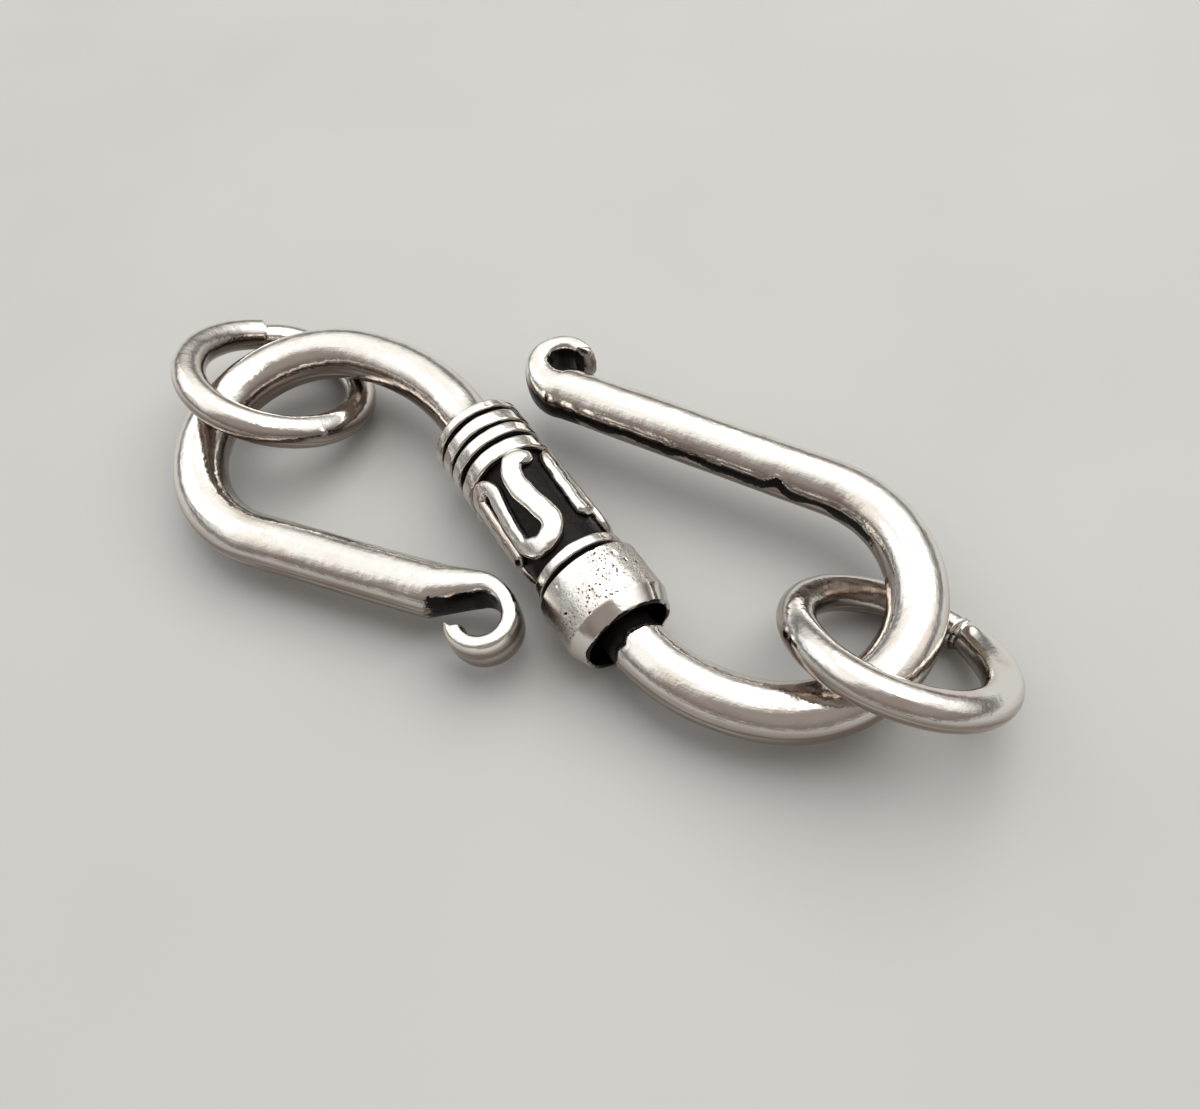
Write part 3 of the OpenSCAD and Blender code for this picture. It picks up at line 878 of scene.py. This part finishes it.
# Raggedness of the black on the lip, how far that black comes over it, and how soft it ends
LIP_WANDER, LIP_BLACK_L, LIP_EDGE = [(0.05, 2.0, 85)], 0.05, 0.06
# Distance from the axis at which the recess's black ends, and that at the drum's foot
RECESS_BLACK, FOOT_BLACK = (RECESS_R + 0.07, 0.08), (SLEEVE_R + 0.16, 0.1)
# How far in along the bead the recess's black goes, and from where on that at the foot stands
RECESS_END, FOOT_START = SLEEVE_RIGHT + 0.1, COLLAR_LEFT - 0.3


def collar_pits(points, shape):
    """Pits of the drum, from 0 outside them to 1 at their floor."""
    return rise(points[..., 0], *DRUM) * rise(noise_at(points, *PIT_NOISE), *shape)


def collar_relief_of(points, normals):
    """Relief in mm: lumps all over, pits on the drum and dents at the rim, but none in the recess."""
    x = points[..., 0]
    lumps = layered(points, CAST_SKIN) + rise(x, *DRUM) * layered(points, DRUM_SKIN)
    pits = PIT_DEPTH * collar_pits(points, PIT_SHAPE)
    dents = bell(x - RIM, RIM_DENT_W) * rise(noise_at(points, *RIM_DENT_NOISE), *RIM_DENT_SHAPE)
    relief = lumps - pits - RIM_DENT_DEPTH * dents - COLLAR_SINK
    return relief * rise(axis_distance(points), *OUTSIDE)


def collar_dirt_of(points):
    """Black in the recess and on its lip, at the drum's foot and in its pits."""
    x, r = points[..., 0], axis_distance(points)
    inside = fall(r, *RECESS_BLACK) * (x < RECESS_END)
    lip = fall(x, COLLAR_RIGHT + LIP_BLACK_L + layered(points, LIP_WANDER), LIP_EDGE)
    foot = fall(r, *FOOT_BLACK) * (x > FOOT_START)
    pits = PIT_BLACK * collar_pits(points, PIT_STAIN)
    return np.maximum(np.maximum(inside, np.maximum(lip, foot)), pits)


# How pitted the drum is in its smoother patches, where 1 is its roughest ones
SMOOTH_PATCH = 0.45
PATCH_NOISE, PATCH_SHAPE = (0.6, 86), (-0.2, 0.5)
# Where the pitted surface begins along the bead
PITTED = (RIM - 0.05, 0.12)


def collar_pitted(points):
    """How pitted the drum is, in broad patches."""
    patches = rise(noise_at(points, *PATCH_NOISE), *PATCH_SHAPE)
    return rise(points[..., 0], *PITTED) * mix(SMOOTH_PATCH, 1, patches)


def make_collar(material):
    """The cast collar: pitted drum, bevel dented at its rim and a black recess round the wire."""
    corners = [
        (FOOT_R, SLEEVE_RIGHT), (RECESS_R, SLEEVE_RIGHT), (RECESS_R, COLLAR_RIGHT),
        (COLLAR_R - BEVEL_H, COLLAR_RIGHT), (COLLAR_R, RIM), (COLLAR_R, COLLAR_LEFT),
        (FOOT_R, COLLAR_LEFT),
    ]
    extra = ("pitted", collar_pitted)
    make_turned("end_collar", corners, COLLAR_ROUND, collar_relief_of, collar_dirt_of, extra, material)


# ---- The scrolls ----

SCROLL_SIDES = 24
SCROLL_STEP = 0.045
# The wire's section is an arch of this power over a foot of three points
SCROLL_POWER = 3.4
SCROLL_FOOT = [-0.6, 0.0, 0.6]
# Length over which an end is rounded off, and what is left there of the width and the height
SCROLL_CAP_L, CAP_WIDTH, CAP_HEIGHT = 0.22, 0.25, 0.35
# How much the hammered width and height change. Their noise has a scale along the wire, a shift from
# one scroll to the next, and a place of its own
WIDTH_CHANGE, WIDTH_NOISE = 0.1, (1.7, 9.1, 0.0)
HEIGHT_CHANGE, HEIGHT_NOISE = 0.06, (2.3, 5.3, 4.0)
# How far the skin lies inside the full height
SCROLL_SINK = 0.02
# Length over which the squeeze comes in, and how far outside the squeezed stretch it begins
NECK_FADE, NECK_REACH = 0.9, 0.7
# Layers of bumps, of the sides' raggedness and of the black's edge
SCROLL_SKIN, SCROLL_SIDE_SKIN = [(0.02, 1.4, 91)], [(0.06, 4.5, 99)]
SCROLL_BLACK_WANDER = [(0.12, 3.0, 97)]
# Part of the height up to which black stands at the wire's foot, and how soft its edge is
SCROLL_BLACK, SCROLL_BLACK_EDGE = 0.34, 0.1


def scroll_section():
    """The wire's section as (to the side, up), each for a half width and a height of 1."""
    a = np.radians(np.linspace(0, 180, SCROLL_SIDES - len(SCROLL_FOOT)))
    side = np.concatenate([spread(np.cos(a), SCROLL_POWER), SCROLL_FOOT])
    up = np.concatenate([spread(np.sin(a), SCROLL_POWER), [0.0] * len(SCROLL_FOOT)])
    return side, up


def hammered(change, noise_of, s, i):
    """A factor near 1 for the width or the height at length s of scroll i."""
    scale, shift, place = noise_of
    return 1 + change * noise.noise((s * scale, i * shift, place))


def scroll_points(i):
    """Level points of a scroll wire wrapped on the sleeve, as rings."""
    side, up = scroll_section()
    poses = walk(SCROLL_START, SCROLL_PATH, SCROLL_STEP)
    end = poses[-1][0]
    points = []
    for s, pose in poses:
        from_tip = max(0.0, 1 - min(s, end - s) / SCROLL_CAP_L)
        cap = math.sqrt(1 - from_tip ** 2)
        neck = rise(s, SCROLL_NECK[0] - NECK_REACH, NECK_FADE)
        neck = float(neck * fall(s, SCROLL_NECK[1] + NECK_REACH, NECK_FADE))
        wide = hammered(WIDTH_CHANGE, WIDTH_NOISE, s, i)
        high = hammered(HEIGHT_CHANGE, HEIGHT_NOISE, s, i)
        width = SCROLL_W / 2 * mix(1, SCROLL_SQUEEZE, neck) * wide * max(cap, CAP_WIDTH)
        height = SCROLL_H * high * max(cap, CAP_HEIGHT)
        flat = np.array([left_of(pose, -width * v) for v in side])
        r = SLEEVE_R + SOLDER_GAP + height * up
        turn = flat[:, 0] / SCROLL_MEAN_R + math.radians(SCROLL_PLACES[i])
        points.append(np.column_stack([SCROLL_MID + flat[:, 1], -r * np.sin(turn), r * np.cos(turn)]))
    return np.array(points)


def make_scroll(i, material):
    """A flattened wire scroll with uneven edges, black at its foot."""
    points = scroll_points(i)
    r = axis_distance(points)
    out = points * (0, 1, 1) / r[..., None]
    up = np.clip((r - SLEEVE_R - SOLDER_GAP) / SCROLL_H, 0, 1)
    relief = up * (layered(points, SCROLL_SKIN, i) - SCROLL_SINK)
    shape = points + out * relief[..., None]
    shape[..., 0] += up * layered(points, SCROLL_SIDE_SKIN, i)
    attributes = {
        "co": points,
        "dirt_and_shade": fall(up, SCROLL_BLACK + layered(points, SCROLL_BLACK_WANDER), SCROLL_BLACK_EDGE),
        # Painted shade, weaker here, on the sides that face aside or down
        "under": SCROLL_PAINTED_SHADE * underside(out @ REST_TURN),
        "rubbed": np.ones(r.shape),
    }
    faces = tube_faces(len(points), SCROLL_SIDES, flip=True)
    make_piece(f"scroll_{i + 1}", at_rest(shape), faces, attributes, material, "hook")


# ---- The clasp ----

polished = make_polished_silver()
pitted_silver = make_pitted_silver()
oxidised = make_oxidised_silver()

make_hook(polished)
for side, ring in RINGS.items():
    make_ring(side, *ring, polished)
make_bands(polished)
make_collar(pitted_silver)
for index in range(len(SCROLL_PLACES)):
    make_scroll(index, polished)

for place in frame["nodes"]["bead_sleeve"].material_slots:
    place.material = oxidised


# ---- The floor, the light and the camera ----

# Half the floor's side, in metres
FLOOR_HALF = 3.0
FLOOR_DARK, FLOOR_PALE = (0.53, 0.535, 0.53, 1), (0.55, 0.555, 0.55, 1)


def make_floor():
    """A pale matt floor, very slightly mottled."""
    material, tree, shader = start_material("pale_floor")
    mottle = noise_map(tree, object_place(tree), scale=60.0, detail=3.0)
    tone = mix_color(tree, ramp(tree, mottle, (0.3, 0.7)), FLOOR_DARK, FLOOR_PALE)
    put(tree, shader.inputs["Base Color"], tone)
    put(tree, shader.inputs["Roughness"], 0.7)
    put(tree, shader.inputs["Specular IOR Level"], 0.2)
    corners = [(FLOOR_HALF * x, FLOOR_HALF * y, 0) for x, y in ((-1, -1), (1, -1), (1, 1), (-1, 1))]
    mesh = bpy.data.meshes.new("floor")
    mesh.from_pydata(corners, [], [(0, 1, 2, 3)])
    mesh.materials.append(material)
    floor = bpy.data.objects.new("floor", mesh)
    bpy.context.scene.collection.objects.link(floor)


OVERHEAD, HORIZON = (1.0, 0.985, 0.945, 1), (0.13, 0.125, 0.12, 1)
# Upward parts of a direction between which the dome turns from the horizon's tone to white
DOME_RISE = (0.15, 0.66)
# Where the studio has little light: horizontally toward the viewer, and a little up
DARK_SIDE = (-0.88, 0.43, 0.2)
DARK_TONE, DARK_RISE, DARK_SHARE = (0.2, 0.165, 0.145, 1), (0.24, 0.62), 0.9
# A pale haze low at the horizon
HAZE_TONE, HAZE_TOP, HAZE_SHARE = (0.45, 0.45, 0.445, 1), 0.2, 0.9
DOME_STRENGTH = 1.05


def make_world():
    """A studio dome: white overhead, darker lower down and on the viewer's side, hazy at the horizon."""
    world = bpy.data.worlds.new("studio")
    bpy.context.scene.world = world
    world.use_nodes = True
    tree = world.node_tree
    direction = tree.nodes.new("ShaderNodeTexCoord").outputs["Generated"]
    split = tree.nodes.new("ShaderNodeSeparateXYZ")
    put(tree, split.inputs[0], direction)
    up = split.outputs["Z"]
    tone = mix_color(tree, ramp(tree, up, DOME_RISE), HORIZON, OVERHEAD)
    facing = vector_math(tree, "DOT_PRODUCT", direction, DARK_SIDE, "Value")
    tone = mix_color(tree, ramp(tree, facing, DARK_RISE, to=(0.0, DARK_SHARE)), tone, DARK_TONE)
    tone = mix_color(tree, ramp(tree, up, (0.0, HAZE_TOP), to=(HAZE_SHARE, 0.0)), tone, HAZE_TONE)
    put(tree, tree.nodes["Background"].inputs["Color"], tone)
    put(tree, tree.nodes["Background"].inputs["Strength"], DOME_STRENGTH)


# Area lamps, aimed at the origin: place and size in metres, power in watts, colour
LAMPS = {
    "key": ((0.03, -0.1, 0.23), 0.26, 0.4, (1.0, 0.98, 0.94)),
    "fill": ((0.2, 0.12, 0.16), 0.2, 0.06, (0.95, 0.97, 1.0)),
}


def make_lamp(name, place, size, power, color):
    lamp = bpy.data.lights.new(name, "AREA")
    lamp.size = size
    lamp.energy = power
    lamp.color = color
    holder = bpy.data.objects.new(name, lamp)
    holder.location = place
    holder.rotation_euler = (-Vector(place)).to_track_quat("-Z", "Y").to_euler()
    bpy.context.scene.collection.objects.link(holder)


# The camera's place and aim are level points in mm
CAMERA_AT = Vector((-19.14, 5.92, 30.93))
CAMERA_TO = Vector((-2.79, -0.93, 0))
CAMERA_ROLL = -12.11
CAMERA_LENS = 30
CAMERA_FILM = 36
# Nearest and farthest distance that the camera sees, in metres
CAMERA_RANGE = (0.001, 20)


def make_camera():
    ahead = (CAMERA_TO - CAMERA_AT).normalized()
    level = ahead.cross(Vector((0, 0, 1))).normalized()
    above = level.cross(ahead)
    c, s = math.cos(math.radians(CAMERA_ROLL)), math.sin(math.radians(CAMERA_ROLL))
    right, up = c * level + s * above, c * above - s * level
    turn = Matrix((right, up, -ahead)).transposed()
    camera = bpy.data.cameras.new("camera")
    camera.lens = CAMERA_LENS
    camera.sensor_fit = "HORIZONTAL"
    camera.sensor_width = CAMERA_FILM
    camera.clip_start, camera.clip_end = CAMERA_RANGE
    holder = bpy.data.objects.new("camera", camera)
    bpy.context.scene.collection.objects.link(holder)
    holder.matrix_world = Matrix.Translation((REST @ CAMERA_AT) * MM) @ (REST.to_3x3() @ turn).to_4x4()
    bpy.context.scene.camera = holder


make_floor()
make_world()
for name, lamp in LAMPS.items():
    make_lamp(name, *lamp)
make_camera()
bpy.context.scene.view_settings.view_transform = "Standard"
